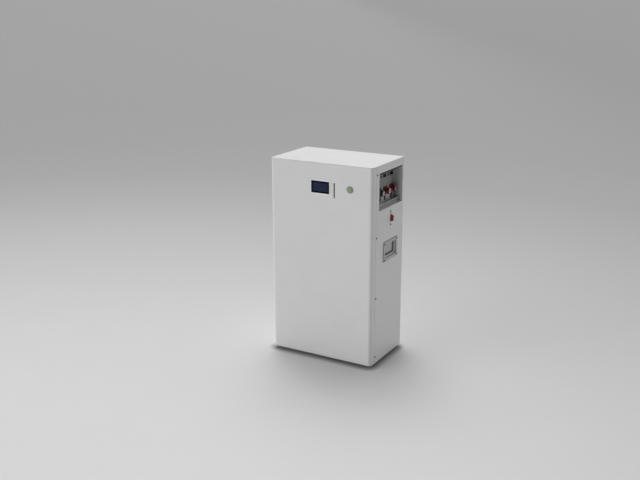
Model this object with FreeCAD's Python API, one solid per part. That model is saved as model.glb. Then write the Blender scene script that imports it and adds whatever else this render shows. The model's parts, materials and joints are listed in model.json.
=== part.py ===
"""Free-standing and wall-hung lithium battery cabinet for home solar storage.

A white powder-coated sheet-steel cabinet stands on four rubber feet and hooks on a wall rail at its back.
The front cover is a pan with rounded vertical edges that wraps round both sides and screws to them.
It carries the display, five menu buttons and the power button. The right side holds a recessed terminal
bay, the main breaker's rocker and a flush lifting handle, and the left side holds the second handle.
Inside are sixteen prismatic cells in two columns, the battery management unit and the power cables.

Units are millimetres. +Z is up, the front faces -Y and the terminal bay is on the +X side.
The origin lies on the floor, under the centre of the cabinet's footprint.
"""

import FreeCAD, Part
import math
import os

Vector = FreeCAD.Vector

# ---------------------------------------------------------------- cabinet
body_width = 510.0
body_depth = 310.0
body_height = 900.0
sheet = 1.5
bend_radius = 3.0
lid_edge_radius = 1.0

# ---------------------------------------------------------------- front cover
cover_corner_radius = 15.0
cover_edge_radius = 1.2
cover_return = 34.0
seam_gap = 2.0
cover_end_gap = 0.6
lap_clearance = 0.2
lap_flange_length = 16.0
lap_flange_inset = 20.0
joggle_length = 3.0
cover_screw_count = 4
cover_screw_setback = 5.4
cover_screw_top_margin = 38.0
cover_screw_bottom_margin = 32.0

# ---------------------------------------------------------------- lid and base
pan_flange = 15.0
pan_flange_inset = 12.0

# ---------------------------------------------------------------- feet
foot_height = 12.0
foot_radius = 20.0
foot_top_radius = 18.0
foot_inset = 46.0
foot_head_recess = 5.0
foot_screw_radius = 2.9
foot_screw_head_radius = 5.5
foot_screw_head_height = 3.5
weld_nut_radius = 7.0
weld_nut_height = 5.0

# ---------------------------------------------------------------- small screws
m4_radius = 1.95
m4_head_radius = 3.4
m4_head_height = 2.0
m4_socket_flats = 2.5
m4_socket_depth = 1.1
m4_nut_flats = 7.0
m4_nut_height = 3.2
thread_clearance = 0.05
hole_clearance = 0.25

# ---------------------------------------------------------------- wall hanging
rail_length = 400.0
rail_gauge = 2.5
rail_gap = 5.0
rail_flange_height = 32.0
rail_lip_height = 26.0
rail_top_margin = 105.0
rail_bolt_inset = 60.0
rail_bolt_count = 4
m8_radius = 3.4
m8_head_flats = 13.0
m8_head_height = 4.0
rivet_nut_body_radius = 5.4
rivet_nut_flange_radius = 7.0
rivet_nut_flange = 0.8
rivet_nut_length = 16.0
lower_fixing_spacing = 300.0
lower_fixing_height = 110.0

# ---------------------------------------------------------------- display
display_width = 90.5
display_height = 54.0
display_drop = 108.0
display_corner_radius = 1.5
bezel_rim = 5.5
bezel_lip = 1.2
bezel_collar_wall = 1.2
bezel_collar_depth = 2.6
lens_thickness = 1.5
lens_edge = 0.9
lcd_width = 105.4
lcd_height = 67.0
lcd_thickness = 2.9
board_thickness = 1.6
display_board_margin = 10.0
display_standoff_radius = 3.0
display_standoff_inset = 4.5

# ---------------------------------------------------------------- menu buttons
menu_button_count = 5
menu_button_pitch = 13.0
menu_button_radius = 3.5
menu_button_protrusion = 3.6
menu_button_dome = 0.7
menu_button_travel = 0.8
menu_button_gap = 1.5
menu_button_flange = 2.4
menu_button_flange_height = 0.8
menu_button_offset = 65.7
menu_button_drop = 8.0
button_gap = 0.3
tact_switch_size = 6.0
press_margin = 0.1

# ---------------------------------------------------------------- power button
power_button_offset = 146.0
power_button_drop = 104.2
power_cap_radius = 12.0
power_cap_thickness = 2.6
power_cap_protrusion = 1.6
power_cap_dome = 1.2
power_stem_radius = 8.0
power_stem_length = 10.0
power_button_travel = 2.5
power_bezel_radius = 15.4
power_bezel_height = 3.0
power_bezel_chamfer = 0.8
power_barrel_radius = 13.8
power_barrel_length = 32.0
power_nut_flats = 32.0
power_nut_height = 5.0

# ---------------------------------------------------------------- terminal bay
side_axis_from_back = 131.0
bay_width = 232.0
bay_height = 165.5
bay_top_margin = 35.5
bay_depth = 45.0
bay_flange = 10.0
port_row_drop = 37.5

# ---------------------------------------------------------------- battery terminals
terminal_pitch = 62.0
terminal_height = 60.5
terminal_flange_size = 36.0
terminal_flange_height = 4.0
terminal_flange_corner = 4.0
terminal_body_radius = 15.0
terminal_tip_radius = 13.5
terminal_protrusion = 25.0
terminal_boss_radius = 12.5
terminal_boss_length = 12.0
terminal_nut_radius = 17.0
terminal_nut_height = 6.0
insert_radius = 10.0
insert_proud = 1.0
insert_chamfer = 0.8
insert_tail = 4.5
insert_thread_depth = 24.0
insert_stud_length = 16.0
moulding_clearance = 0.05
link_bar_width = 25.0
link_bar_gauge = 3.0
stud_nut_height = 6.5

# ---------------------------------------------------------------- communication ports
jack_width = 15.7
jack_height = 16.0
jack_depth = 13.5
jack_proud = 1.0
jack_gap = 0.2
jack_mouth_width = 11.8
jack_mouth_height = 6.9
jack_mouth_depth = 11.0
jack_latch_width = 6.0
jack_latch_height = 2.2
jack_floor = 3.1
front_jack_offset = 25.5
rear_jack_offset = 94.0
cutout_clearance = 0.3
port_board_height = 56.0
port_board_top_margin = 12.0
port_board_margin = 6.0
port_board_spacer_radius = 3.0
port_board_spacer_inset = 5.0

# ---------------------------------------------------------------- address switch
address_switch_offset = 62.5
slider_count = 6
slider_pitch = 2.54
switch_width = 9.9
switch_margin = 0.8
switch_proud = 0.6
slider_length = 1.5
slider_width = 1.2
slider_travel = 1.6
slider_slot_depth = 1.4
slider_proud = 0.5
slider_clearance = 0.15

# ---------------------------------------------------------------- reset button, lights and earth stud
reset_offset = -8.6
reset_size = 10.0
reset_proud = 1.6
reset_corner = 0.8
reset_travel = 0.8
reset_flange = 0.8
reset_flange_height = 1.0
light_count = 6
light_pitch = 10.0
light_last_offset = -17.0
light_drop = 59.0
light_radius = 2.5
light_proud = 1.2
earth_stud_offset = -98.0
earth_stud_height = 22.0
earth_stud_radius = 2.95
earth_stud_length = 14.0
earth_nut_flats = 10.0
earth_nut_height = 5.0

# ---------------------------------------------------------------- breaker
breaker_drop = 254.2
breaker_width = 30.0
breaker_height = 74.0
breaker_depth = 58.0
breaker_screw_spacing = 60.0
breaker_screw_length = 12.0
breaker_post_size = 16.0
breaker_post_depth = 6.0
breaker_post_rise = 22.0
rocker_width = 10.0
rocker_protrusion = 13.0
rocker_offset = 4.0
rocker_tip_length = 22.0
rocker_base_length = 28.0
rocker_dip = 1.6
rocker_tilt = 5.0
rocker_pivot_depth = 5.5
rocker_root = 4.5
rocker_root_length = 14.0
rocker_pin_radius = 1.5
rocker_pin_length = 3.0
rocker_edge_radius = 0.8
rocker_floor_gap = 1.5
slot_length = 36.0
slot_side_gap = 1.0
slot_corner = 2.0
pin_clearance = 0.06

# ---------------------------------------------------------------- lifting handles
handle_drop = 398.0
handle_plate_width = 140.0
handle_plate_height = 90.0
handle_plate_gauge = 3.0
handle_plate_corner = 4.0
handle_mouth_width = 112.0
handle_mouth_height = 62.0
handle_mouth_corner = 8.0
handle_depth = 21.0
handle_wall = 1.5
handle_cutout_clearance = 3.0
island_width = 50.0
island_depth = 6.0
island_rise = 18.5
island_edge_radius = 2.0
handle_screw_inset_y = 8.5
handle_screw_inset_z = 8.0
bail_radius = 4.0
bail_pivot_inset = 7.5
bail_pivot_drop = 8.0
bail_reach = 48.5
bail_side_gap = 6.5
bail_bend_radius = 10.0
bail_pin_bend_radius = 6.0
bail_pin_overhang = 2.5

# ---------------------------------------------------------------- cells and pack
cell_width = 174.0
cell_length = 200.0
cell_thickness = 72.0
cell_rows = 8
cell_corner_radius = 3.0
column_gap = 1.0
spacer_thickness = 1.0
spacer_inset = 2.0
pack_rear_clearance = 2.0
post_radius = 8.0
post_height = 3.0
post_offset = 61.0
busbar_width = 22.0
busbar_gauge = 2.0
end_plate_gauge = 6.0
end_plate_overhang = 13.5
end_plate_inset = 2.0
tie_rod_radius = 3.0
tie_rod_inset = 6.0
tie_rod_end_inset = 20.0
tie_nut_flats = 10.0
tie_nut_height = 5.0
tie_rod_floor_gap = 1.0

# ---------------------------------------------------------------- battery management unit
bms_width = 280.0
bms_height = 120.0
bms_base = 6.0
bms_fin_height = 24.0
bms_fin_gauge = 2.5
bms_fin_count = 15
bms_board_gauge = 2.0
bms_rise = 45.0
bms_offset = -60.0
bms_block_size = 20.0
bms_block_depth = 15.0
bms_block_spread = 100.0

# ---------------------------------------------------------------- power cables
cable_radius = 6.0
cable_bend_share = 0.45
lug_width = 18.0
lug_gauge = 3.0
lug_pad = 20.0
lug_barrel = 14.0
cable_drop = 45.0
cable_chamfer = 20.0

# ---------------------------------------------------------------- places worked out from the sizes
half_width = body_width / 2
front_face = -body_depth / 2
back_face = body_depth / 2
body_bottom = foot_height
body_top = foot_height + body_height
base_top = body_bottom + sheet
lid_bottom = body_top - sheet
inner_x = half_width - sheet
inner_front = front_face + sheet
inner_back = back_face - sheet
seam_y = front_face + cover_return
wrap_front = seam_y + seam_gap
cover_bottom = base_top + cover_end_gap
cover_top = lid_bottom - cover_end_gap
side_axis_y = back_face - side_axis_from_back

bay_top = body_top - bay_top_margin
bay_bottom = bay_top - bay_height
bay_front = side_axis_y - bay_width / 2
bay_rear = side_axis_y + bay_width / 2
bay_panel = half_width - bay_depth
bay_panel_rear = bay_panel - sheet
port_row_z = bay_top - port_row_drop
light_row_z = bay_top - light_drop
terminal_z = bay_bottom + terminal_height
port_board_face = bay_panel + jack_proud - jack_depth
reset_flange_face = bay_panel_rear - button_gap
reset_flange_back = reset_flange_face - reset_flange_height

breaker_z = body_top - breaker_drop
handle_z = body_top - handle_drop
display_z = body_top - display_drop
menu_column_z = display_z - menu_button_drop
power_button_z = body_top - power_button_drop

lens_front = front_face
lens_back = lens_front + lens_thickness
collar_back = front_face + bezel_collar_depth
lcd_front = collar_back + lap_clearance
lcd_back = lcd_front + lcd_thickness
display_board_back = lcd_back + board_thickness

pack_back = back_face - rivet_nut_length - pack_rear_clearance
pack_front = pack_back - cell_length
cell_pitch = cell_thickness + spacer_thickness
cells_bottom = base_top + end_plate_gauge
cells_top = cells_bottom + cell_rows * cell_pitch - spacer_thickness
column_x = (cell_width + column_gap) / 2
pack_top = cells_top + end_plate_gauge
post_face = pack_front - post_height
busbar_face = post_face - busbar_gauge

bms_face = inner_back - bms_base - bms_fin_height
bms_board_face = bms_face - bms_board_gauge
bms_block_face = bms_board_face - bms_block_depth
bms_bottom = pack_top + bms_rise
bms_z = bms_bottom + bms_height / 2

slot_width = rocker_width + 2 * slot_side_gap
rocker_y = side_axis_y + rocker_offset
breaker_back = inner_x - breaker_depth
breaker_post_face = breaker_back - breaker_post_depth
terminal_rear = bay_panel_rear - terminal_boss_length
insert_rear = terminal_rear - insert_tail
link_bar_rear = insert_rear - link_bar_gauge


# ================================================================ helpers
def block(x0, x1, y0, y1, z0, z1):
    """A box between two corners."""
    return Part.makeBox(x1 - x0, y1 - y0, z1 - z0, Vector(x0, y0, z0))


def rod(radius, start, end):
    """A cylinder from one point to another."""
    start = Vector(*start)
    end = Vector(*end)
    return Part.makeCylinder(radius, (end - start).Length, start, end - start)


def cone(start_radius, end_radius, start, end):
    """A frustum from one point to another."""
    start = Vector(*start)
    end = Vector(*end)
    return Part.makeCone(start_radius, end_radius, (end - start).Length, start, end - start)


def hexagon(flats, start, end):
    """A hexagonal bar from one point to another, measured across its flats."""
    start = Vector(*start)
    end = Vector(*end)
    direction = end - start
    corner = flats / math.sqrt(3)
    across = Vector(0, 0, 1) if abs(direction.z) < abs(direction.Length) / 2 else Vector(1, 0, 0)
    side = direction.cross(across)
    side.normalize()
    points = []
    for step in range(7):
        angle = math.radians(60 * step)
        points.append(start + across * (corner * math.cos(angle)) + side * (corner * math.sin(angle)))
    return Part.Face(Part.makePolygon(points)).extrude(direction)


def fuse(shapes):
    """One solid from several that touch or overlap."""
    first = shapes[0]
    return first.fuse(shapes[1:]).removeSplitter() if len(shapes) > 1 else first


def edges_along(shape, axis, keep=lambda middle: True):
    """The straight edges of a shape that run along an axis and pass a test on their middle."""
    picked = []
    for edge in shape.Edges:
        if not isinstance(edge.Curve, Part.Line):
            continue
        if abs(abs(edge.Curve.Direction.dot(axis)) - 1) > 1e-6:
            continue
        if keep(edge.CenterOfMass):
            picked.append(edge)
    return picked


def round_along(shape, radius, axis, keep=lambda middle: True):
    """The shape with its edges along an axis filleted."""
    return shape.makeFillet(radius, edges_along(shape, axis, keep))


X_AXIS = Vector(1, 0, 0)
Y_AXIS = Vector(0, 1, 0)
Z_AXIS = Vector(0, 0, 1)


def plate_x(x0, x1, centre_y, centre_z, width, height, corner):
    """A plate that faces along X, with rounded corners."""
    plate = block(
        x0, x1, centre_y - width / 2, centre_y + width / 2, centre_z - height / 2, centre_z + height / 2
    )
    return round_along(plate, corner, X_AXIS)


def plate_y(y0, y1, centre_x, centre_z, width, height, corner):
    """A plate that faces along Y, with rounded corners."""
    plate = block(
        centre_x - width / 2, centre_x + width / 2, y0, y1, centre_z - height / 2, centre_z + height / 2
    )
    return round_along(plate, corner, Y_AXIS)


def bent_path(points, radii):
    """A wire of straight runs joined by tangent arcs, one radius for each inner point."""
    points = [Vector(*p) for p in points]
    edges = []
    start = points[0]
    for here, after, before, radius in zip(points[1:-1], points[2:], points[:-2], radii):
        towards = before - here
        towards.normalize()
        onwards = after - here
        onwards.normalize()
        half_turn = (math.pi - towards.getAngle(onwards)) / 2
        cut = radius * math.tan(half_turn)
        arc_start = here + towards * cut
        arc_end = here + onwards * cut
        bisector = towards + onwards
        bisector.normalize()
        arc_middle = here + bisector * (radius / math.cos(half_turn) - radius)
        edges.append(Part.LineSegment(start, arc_start).toShape())
        edges.append(Part.Arc(arc_start, arc_middle, arc_end).toShape())
        start = arc_end
    edges.append(Part.LineSegment(start, points[-1]).toShape())
    return Part.Wire(edges)


def tube(points, radii, radius):
    """A round bar swept along a bent path."""
    path = bent_path(points, radii)
    start = Vector(*points[0])
    heading = Vector(*points[1]) - start
    ring = Part.Wire([Part.makeCircle(radius, start, heading)])
    return path.makePipeShell([ring], True, False)


def mirrored(shape):
    """The same piece on the cabinet's other side."""
    return shape.mirror(Vector(0, 0, 0), X_AXIS)


# ================================================================ fasteners
def m4_screw(seat, inward, length):
    """A low-head M4 socket screw: its head's seat, the way it goes in, and its shank's length."""
    seat = Vector(*seat)
    inward = Vector(*inward)
    top = seat - inward * m4_head_height
    head = rod(m4_head_radius, seat, top)
    socket = hexagon(m4_socket_flats, top, top + inward * m4_socket_depth)
    shank = rod(m4_radius, seat, seat + inward * length)
    return fuse([head, shank]).cut(socket)


def cover_screw_heights():
    """The heights of the screws down each side seam."""
    top = body_top - cover_screw_top_margin
    bottom = body_bottom + cover_screw_bottom_margin
    step = (top - bottom) / (cover_screw_count - 1)
    return [bottom + step * n for n in range(cover_screw_count)]


cover_screw_y = wrap_front + cover_screw_setback
lap_flange_face = inner_x - lap_clearance
lap_flange_inner = lap_flange_face - sheet
cover_screw_length = sheet + lap_clearance + sheet + m4_nut_height


def cover_screws():
    """The screws that hold the front cover to both sides."""
    screws = []
    for side in (1, -1):
        for z in cover_screw_heights():
            seat = (side * half_width, cover_screw_y, z)
            screws.append(m4_screw(seat, (-side, 0, 0), cover_screw_length))
    return screws


def cover_nuts():
    """Clinch nuts behind the cover's lap flanges."""
    nuts = []
    for side in (1, -1):
        for z in cover_screw_heights():
            near = (side * lap_flange_inner, cover_screw_y, z)
            far = (side * (lap_flange_inner - m4_nut_height), cover_screw_y, z)
            nut = hexagon(m4_nut_flats, near, far)
            nuts.append(nut.cut(rod(m4_radius + thread_clearance, near, far)))
    return nuts


# ================================================================ cabinet sheets
def footprint_plate(z0, z1):
    """The cabinet's full footprint as a plate, rounded to match the cover and the wrap."""
    plate = block(-half_width, half_width, front_face, back_face, z0, z1)
    plate = round_along(plate, cover_corner_radius, Z_AXIS, lambda p: p.y < 0)
    return round_along(plate, bend_radius, Z_AXIS, lambda p: p.y > 0 and abs(p.x) > half_width - bend_radius)


def pan_flanges(z0, z1):
    """Three flanges that stand against the inside of the wrap."""
    start = wrap_front + lap_flange_length + pan_flange_inset
    end = inner_back - pan_flange_inset
    left = block(-inner_x, -inner_x + sheet, start, end, z0, z1)
    right = block(inner_x - sheet, inner_x, start, end, z0, z1)
    reach = inner_x - pan_flange_inset
    rear = block(-reach, reach, inner_back - sheet, inner_back, z0, z1)
    return [left, right, rear]


def soften_rim(plate, z, radius):
    """Rounds the outer rim of a plate at one height."""
    rim = [e for e in plate.Edges if abs(e.BoundBox.ZMin - z) < 1e-6 and abs(e.BoundBox.ZMax - z) < 1e-6]
    return plate.makeFillet(radius, rim)


def top_panel():
    """The lid: a plate with a softened rim and three flanges that go down inside the wrap."""
    plate = soften_rim(footprint_plate(lid_bottom, body_top), body_top, lid_edge_radius)
    return fuse([plate] + pan_flanges(lid_bottom - pan_flange, lid_bottom))


def foot_centres():
    """The middle of each foot."""
    x = half_width - foot_inset
    y = body_depth / 2 - foot_inset
    return [(sx * x, sy * y) for sx in (-1, 1) for sy in (-1, 1)]


def base_panel():
    """The floor of the cabinet, with flanges up inside the wrap and a weld nut over each foot."""
    plate = soften_rim(footprint_plate(body_bottom, base_top), body_bottom, lid_edge_radius)
    base = fuse([plate] + pan_flanges(base_top, base_top + pan_flange))
    nut_top = base_top + weld_nut_height
    for x, y in foot_centres():
        base = base.fuse(rod(weld_nut_radius, (x, y, base_top), (x, y, nut_top)))
        hole = foot_screw_radius + thread_clearance
        base = base.cut(rod(hole, (x, y, body_bottom), (x, y, nut_top)))
    return base


def rivet_nut_places():
    """The rear nuts: a row behind the hanger rail and two open ones lower down."""
    reach = rail_length / 2 - rail_bolt_inset
    step = 2 * reach / (rail_bolt_count - 1)
    row = [(-reach + step * n, rail_bolt_z) for n in range(rail_bolt_count)]
    lower_z = body_bottom + lower_fixing_height
    lower = [(side * lower_fixing_spacing / 2, lower_z) for side in (-1, 1)]
    return row, lower


rail_top = body_top - rail_top_margin
rail_bolt_z = rail_top - rail_flange_height / 2


def side_sheet_openings():
    """Everything that is cut out of the right-hand side, and the left-hand one's handle and screw holes."""
    margin = sheet
    cuts = []
    outside = half_width + margin
    inside = inner_x - margin
    cuts.append(block(inside, outside, bay_front, bay_rear, bay_bottom, bay_top))
    cuts.append(plate_x(inside, outside, rocker_y, breaker_z, slot_width, slot_length, slot_corner))
    for rise in (-breaker_screw_spacing / 2, breaker_screw_spacing / 2):
        start = (inside, side_axis_y, breaker_z + rise)
        cuts.append(rod(m4_radius + hole_clearance, start, (outside, side_axis_y, breaker_z + rise)))
    opening_width = handle_mouth_width + 2 * (handle_wall + handle_cutout_clearance)
    opening_height = handle_mouth_height + 2 * (handle_wall + handle_cutout_clearance)
    corner = handle_mouth_corner + handle_wall + handle_cutout_clearance
    for side in (1, -1):
        near = min(side * inside, side * outside)
        far = max(side * inside, side * outside)
        cuts.append(plate_x(near, far, side_axis_y, handle_z, opening_width, opening_height, corner))
        for y, z in handle_screw_places():
            cuts.append(rod(m4_radius + hole_clearance, (near, y, z), (far, y, z)))
        for z in cover_screw_heights():
            cuts.append(rod(m4_radius + hole_clearance, (near, cover_screw_y, z), (far, cover_screw_y, z)))
    return cuts


def cabinet_wrap():
    """The back with its folded sides, and the three sheets welded on to complete the side with the bay."""
    outer = block(-half_width, half_width, wrap_front, back_face, base_top, lid_bottom)
    outer = round_along(outer, bend_radius, Z_AXIS, lambda p: p.y > 0)
    inner = block(-inner_x, inner_x, wrap_front - sheet, inner_back, base_top - sheet, lid_bottom + sheet)
    inner = round_along(inner, bend_radius - sheet, Z_AXIS, lambda p: p.y > 0)
    shell = outer.cut(inner)
    row, lower = rivet_nut_places()
    holes = []
    for x, z in row + lower:
        holes.append(rod(rivet_nut_body_radius, (x, inner_back - sheet, z), (x, back_face + sheet, z)))
    shell = shell.cut(side_sheet_openings() + holes)
    front_strip = block(inner_x - sheet, half_width, wrap_front, bay_front, base_top, lid_bottom)
    lower_sheet = block(inner_x - sheet, half_width, bay_front, bay_rear, base_top, bay_bottom)
    upper_strip = block(inner_x - sheet, half_width, bay_front, bay_rear, bay_top, lid_bottom)
    welded = [front_strip, lower_sheet, upper_strip]
    return [shell.cut(welded)] + [shell.common(sheet_area) for sheet_area in welded]


def front_cover():
    """The front pan, with its display window, button holes and the flanges that lap inside the wrap."""
    outer = block(-half_width, half_width, front_face, seam_y, cover_bottom, cover_top)
    outer = round_along(outer, cover_corner_radius, Z_AXIS, lambda p: p.y < seam_y - 1)
    rims = []
    for edge in outer.Edges:
        box = edge.BoundBox
        level = box.ZMax - box.ZMin < 1e-6
        if level and box.YMax - box.YMin > 1e-6 or level and box.YMax < seam_y - 1:
            rims.append(edge)
    outer = outer.makeFillet(cover_edge_radius, rims)
    inner = block(-inner_x, inner_x, inner_front, seam_y + sheet, cover_bottom + sheet, cover_top - sheet)
    inner = round_along(inner, cover_corner_radius - sheet, Z_AXIS, lambda p: p.y < seam_y)
    cover = outer.cut(inner)

    low = cover_bottom + lap_flange_inset
    high = cover_top - lap_flange_inset
    flange_end = seam_y + lap_flange_length
    flange = block(lap_flange_inner, lap_flange_face, seam_y - joggle_length, flange_end, low, high)
    web = block(lap_flange_inner, half_width, seam_y - joggle_length, seam_y, low, high)
    right_flange = fuse([flange, web])
    cover = fuse([cover, right_flange, mirrored(right_flange)])

    cuts = []
    for side in (1, -1):
        near = side * (lap_flange_inner - sheet)
        for z in cover_screw_heights():
            hole = m4_radius + hole_clearance
            cuts.append(rod(hole, (near, cover_screw_y, z), (side * half_width, cover_screw_y, z)))
    through_front = front_face - sheet
    through_back = inner_front + sheet
    window_width = display_width + 2 * (lens_edge + bezel_collar_wall) + 2 * lap_clearance
    window_height = display_height + 2 * (lens_edge + bezel_collar_wall) + 2 * lap_clearance
    cuts.append(
        plate_y(
            through_front, through_back, 0, display_z, window_width, window_height, display_corner_radius
        )
    )
    for z in menu_button_heights():
        radius = menu_button_radius + menu_button_gap
        cuts.append(
            rod(radius, (menu_button_offset, through_front, z), (menu_button_offset, through_back, z))
        )
    hole = power_barrel_radius + hole_clearance
    start = (power_button_offset, through_front, power_button_z)
    cuts.append(rod(hole, start, (power_button_offset, through_back, power_button_z)))
    return cover.cut(cuts)


# ================================================================ feet
def rubber_feet():
    """Four tapered rubber feet, each bored from below for its screw's head."""
    feet = []
    for x, y in foot_centres():
        foot = cone(foot_radius, foot_top_radius, (x, y, 0), (x, y, foot_height))
        recess = rod(foot_screw_head_radius + hole_clearance, (x, y, 0), (x, y, foot_head_recess))
        shank = rod(foot_screw_radius + hole_clearance, (x, y, 0), (x, y, foot_height))
        feet.append(foot.cut([recess, shank]))
    return feet


def foot_screws():
    """The screws that hold the feet to the base."""
    screws = []
    seat = foot_head_recess
    for x, y in foot_centres():
        head = rod(foot_screw_head_radius, (x, y, seat - foot_screw_head_height), (x, y, seat))
        shank = rod(foot_screw_radius, (x, y, seat), (x, y, base_top + weld_nut_height))
        screws.append(fuse([head, shank]))
    return screws


# ================================================================ wall hanging
def hanger_rail():
    """A folded rail bolted to the back: its lip stands off the cabinet and hooks down over a wall rail."""
    reach = rail_length / 2
    flange = block(-reach, reach, back_face, back_face + rail_gauge, rail_top - rail_flange_height, rail_top)
    lip_top = rail_top - rail_flange_height
    lip_face = back_face + rail_gap
    shoulder = block(-reach, reach, back_face, lip_face + rail_gauge, lip_top - rail_gauge, lip_top)
    lip = block(-reach, reach, lip_face, lip_face + rail_gauge, lip_top - rail_lip_height, lip_top)
    rail = fuse([flange, shoulder, lip])
    row, _ = rivet_nut_places()
    holes = []
    for x, z in row:
        radius = rivet_nut_flange_radius + hole_clearance
        holes.append(rod(radius, (x, back_face, z), (x, back_face + rivet_nut_flange, z)))
        holes.append(rod(m8_radius + hole_clearance, (x, back_face, z), (x, back_face + rail_gauge, z)))
    return rail.cut(holes)


def hanger_bolts():
    """Hexagon bolts that hold the rail."""
    row, _ = rivet_nut_places()
    bolts = []
    seat = back_face + rail_gauge
    for x, z in row:
        head = hexagon(m8_head_flats, (x, seat, z), (x, seat + m8_head_height, z))
        shank = rod(m8_radius, (x, seat, z), (x, back_face - rivet_nut_length + sheet, z))
        bolts.append(fuse([head, shank]))
    return bolts


def rivet_nuts():
    """Threaded inserts in the cabinet's back."""
    row, lower = rivet_nut_places()
    nuts = []
    for x, z in row + lower:
        flange_face = back_face + rivet_nut_flange
        end = back_face - rivet_nut_length
        flange = rod(rivet_nut_flange_radius, (x, back_face, z), (x, flange_face, z))
        body = rod(rivet_nut_body_radius - thread_clearance, (x, back_face, z), (x, end, z))
        bore = rod(m8_radius + thread_clearance, (x, flange_face, z), (x, end, z))
        nuts.append(fuse([flange, body]).cut(bore))
    return nuts


# ================================================================ display
def display_bezel():
    """The frame round the screen: a flat lip outside the cover and a collar through its window."""
    corner = display_corner_radius
    wide = display_width + 2 * bezel_rim
    tall = display_height + 2 * bezel_rim
    lip = plate_y(front_face - bezel_lip, front_face, 0, display_z, wide, tall, 2 * corner)
    front_rim = [e for e in lip.Edges if abs(e.BoundBox.YMax - (front_face - bezel_lip)) < 1e-6]
    lip = lip.makeFillet(bezel_lip / 2, front_rim)
    collar_wide = display_width + 2 * (lens_edge + bezel_collar_wall)
    collar_tall = display_height + 2 * (lens_edge + bezel_collar_wall)
    collar = plate_y(front_face, collar_back, 0, display_z, collar_wide, collar_tall, corner)
    frame = fuse([lip, collar])
    seat_wide = display_width + 2 * lens_edge + 2 * lap_clearance
    seat_tall = display_height + 2 * lens_edge + 2 * lap_clearance
    seat = plate_y(front_face, collar_back, 0, display_z, seat_wide, seat_tall, corner)
    mouth = plate_y(
        front_face - bezel_lip, front_face, 0, display_z, display_width, display_height, corner / 2
    )
    return frame.cut([seat, mouth])


def display_lens():
    """The dark window in front of the screen."""
    wide = display_width + 2 * lens_edge
    tall = display_height + 2 * lens_edge
    return plate_y(lens_front, lens_back, 0, display_z, wide, tall, display_corner_radius)


def lcd_panel():
    """The screen itself, behind the collar, with the raised glass that faces the window."""
    glass_front = lens_back + lap_clearance
    module = plate_y(lcd_front, lcd_back, 0, display_z, lcd_width, lcd_height, display_corner_radius)
    glass = plate_y(
        glass_front, lcd_front, 0, display_z, display_width, display_height, display_corner_radius
    )
    return fuse([module, glass])


def menu_button_heights():
    """The five menu buttons' heights, from the top down."""
    first = menu_column_z + menu_button_pitch * (menu_button_count - 1) / 2
    return [first - menu_button_pitch * n for n in range(menu_button_count)]


def display_board():
    """The board behind the screen, its switches under the menu buttons, and its spacers to the cover."""
    left = -lcd_width / 2
    right = menu_button_offset + display_board_margin
    heights = menu_button_heights()
    top = max(display_z + lcd_height / 2, heights[0] + display_board_margin) + 2 * display_standoff_inset
    bottom = min(display_z - lcd_height / 2, heights[-1] - display_board_margin) - 2 * display_standoff_inset
    solids = []
    board = block(left, right, lcd_back, display_board_back, bottom, top)
    flange_back = inner_front + button_gap + menu_button_flange_height
    switch_front = flange_back + menu_button_travel + press_margin
    half = tact_switch_size / 2
    for z in heights:
        near = menu_button_offset - half
        board = board.fuse(block(near, near + tact_switch_size, switch_front, lcd_back, z - half, z + half))
    solids.append(board.removeSplitter())
    for x in (left + display_standoff_inset, right - display_standoff_inset):
        for z in (bottom + display_standoff_inset, top - display_standoff_inset):
            solids.append(rod(display_standoff_radius, (x, inner_front, z), (x, lcd_back, z)))
    return solids


def menu_button(z):
    """One domed menu button with the flange that keeps it behind the cover."""
    x = menu_button_offset
    front = front_face - menu_button_protrusion
    flange_front = inner_front + button_gap
    stem = rod(menu_button_radius, (x, front, z), (x, flange_front, z))
    front_rim = [e for e in stem.Edges if abs(e.BoundBox.YMax - front) < 1e-6]
    stem = stem.makeFillet(menu_button_dome, front_rim)
    flange_radius = menu_button_radius + menu_button_flange
    flange = rod(flange_radius, (x, flange_front, z), (x, flange_front + menu_button_flange_height, z))
    return fuse([stem, flange])


# ================================================================ power button
def power_button_body():
    """The button's bezel and threaded barrel, closed at the back and open at the front for the cap."""
    x = power_button_offset
    z = power_button_z
    bezel_face = front_face - power_bezel_height
    bezel = rod(power_bezel_radius, (x, front_face, z), (x, bezel_face, z))
    rim = [e for e in bezel.Edges if abs(e.BoundBox.YMax - bezel_face) < 1e-6]
    bezel = bezel.makeChamfer(power_bezel_chamfer, rim)
    barrel = rod(power_barrel_radius, (x, front_face, z), (x, front_face + power_barrel_length, z))
    well_end = power_cap_back + power_button_travel + button_gap
    well = rod(power_cap_radius + button_gap, (x, bezel_face, z), (x, well_end, z))
    bore_end = well_end + power_stem_length
    bore = rod(power_stem_radius + button_gap, (x, well_end, z), (x, bore_end, z))
    return fuse([bezel, barrel]).cut([well, bore])


power_cap_front = front_face - power_bezel_height - power_cap_protrusion
power_cap_back = power_cap_front + power_cap_thickness


def power_button_cap():
    """The round cap that is pressed, with its stem."""
    x = power_button_offset
    z = power_button_z
    cap = rod(power_cap_radius, (x, power_cap_front, z), (x, power_cap_back, z))
    rim = [e for e in cap.Edges if abs(e.BoundBox.YMax - power_cap_front) < 1e-6]
    cap = cap.makeFillet(power_cap_dome, rim)
    stem = rod(power_stem_radius, (x, power_cap_back, z), (x, power_cap_back + power_stem_length, z))
    return fuse([cap, stem])


def power_button_nut():
    """The nut that clamps the button from behind the cover."""
    x = power_button_offset
    z = power_button_z
    nut = hexagon(power_nut_flats, (x, inner_front, z), (x, inner_front + power_nut_height, z))
    bore = rod(
        power_barrel_radius + thread_clearance, (x, inner_front, z), (x, inner_front + power_nut_height, z)
    )
    return nut.cut(bore)


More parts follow.
